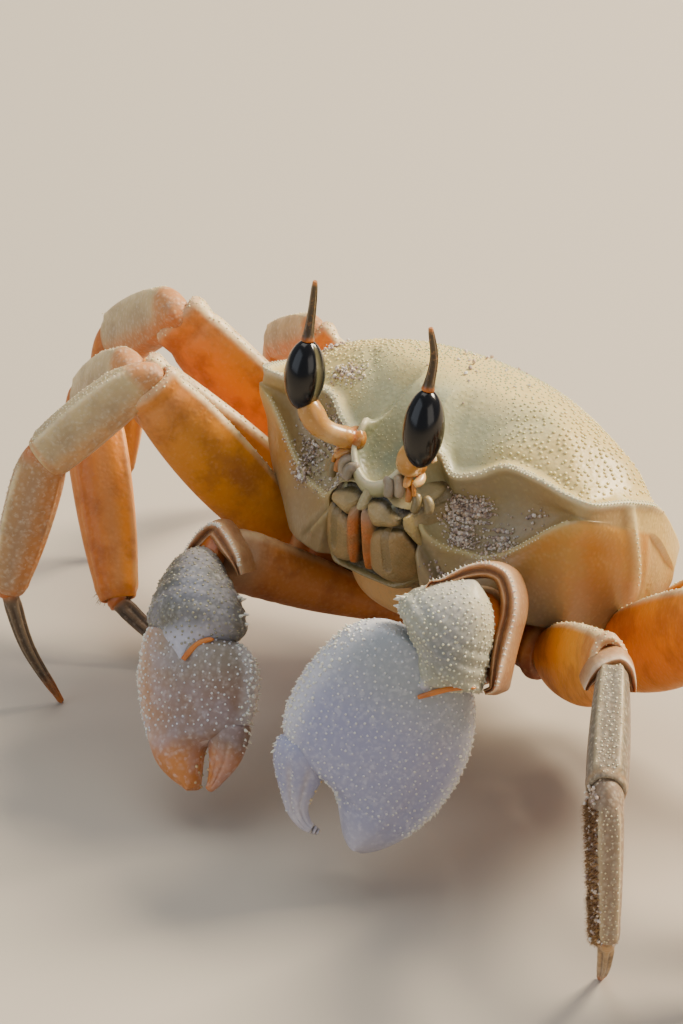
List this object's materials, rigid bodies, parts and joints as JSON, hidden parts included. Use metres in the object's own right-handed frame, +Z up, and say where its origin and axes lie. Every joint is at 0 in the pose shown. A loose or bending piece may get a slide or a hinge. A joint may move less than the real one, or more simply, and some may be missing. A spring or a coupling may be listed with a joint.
{
  "type": "ghost crab",
  "caption": "Horned ghost crab standing alert with its body tilted up, tall stalked eyes raised and both unequal claws hanging in front.",
  "frame": {"origin": "on the floor, in the middle of the ground that the whole crab covers", "axes": "-Y is ahead, the way the crab faces; +X is to its left; +Z is up; the floor is z = 0"},
  "size_m": [0.1226, 0.0684, 0.0578],
  "materials": {
    "shell": "satin, granulated shell, cream-yellow with a greenish cast",
    "belly": "smooth pale underside",
    "mouthparts": "olive-brown, slightly glossy",
    "leg": "orange, satin, finely granulated",
    "pale_leg": "cream, finely granulated",
    "leg_tip": "grey-brown, ridged, with a horny tip",
    "claw": "white with a lilac cast, granulated",
    "eyestalk": "peach, smooth",
    "eye": "black, polished",
    "horn": "brown, horny"
  },
  "bodies": {
    "root": {"leg1_left_coxa": "leg", "leg1_left_merus": "leg", "leg1_left_carpus": "pale_leg", "leg1_left_propodus": "pale_leg", "leg1_left_dactyl": "leg_tip", "leg2_left_coxa": "leg", "leg2_left_merus": "leg", "leg2_left_carpus": "pale_leg", "leg2_left_propodus": "pale_leg", "leg2_left_dactyl": "leg_tip", "leg3_left_coxa": "leg", "leg3_left_merus": "leg", "leg3_left_carpus": "pale_leg", "leg3_left_propodus": "pale_leg", "leg3_left_dactyl": "leg_tip", "leg4_left_coxa": "leg", "leg4_left_merus": "leg", "leg4_left_carpus": "pale_leg", "leg4_left_propodus": "pale_leg", "leg4_left_dactyl": "leg_tip", "leg1_right_coxa": "leg", "leg1_right_merus": "leg", "leg1_right_carpus": "pale_leg", "leg1_right_propodus": "pale_leg", "leg1_right_dactyl": "leg_tip", "leg2_right_coxa": "leg", "leg2_right_merus": "leg", "leg2_right_carpus": "pale_leg", "leg2_right_propodus": "pale_leg", "leg2_right_dactyl": "leg_tip", "leg3_right_coxa": "leg", "leg3_right_merus": "leg", "leg3_right_carpus": "pale_leg", "leg3_right_propodus": "pale_leg", "leg3_right_dactyl": "leg_tip", "leg4_right_coxa": "leg", "leg4_right_merus": "leg", "leg4_right_carpus": "pale_leg", "leg4_right_propodus": "pale_leg", "leg4_right_dactyl": "leg_tip", "claw_left_merus": "leg", "claw_left_carpus": "claw", "claw_left_palm": "claw", "claw_left_finger": "claw", "claw_right_merus": "leg", "claw_right_carpus": "claw", "claw_right_palm": "claw", "claw_right_finger": "claw", "carapace": "shell", "thorax": "belly", "abdomen": "belly", "maxilliped_left": "mouthparts", "eyestalk_left": "eyestalk", "cornea_left": "eye", "horn_left": "horn", "maxilliped_right": "mouthparts", "eyestalk_right": "eyestalk", "cornea_right": "eye", "horn_right": "horn"}
  },
  "joints": []
}
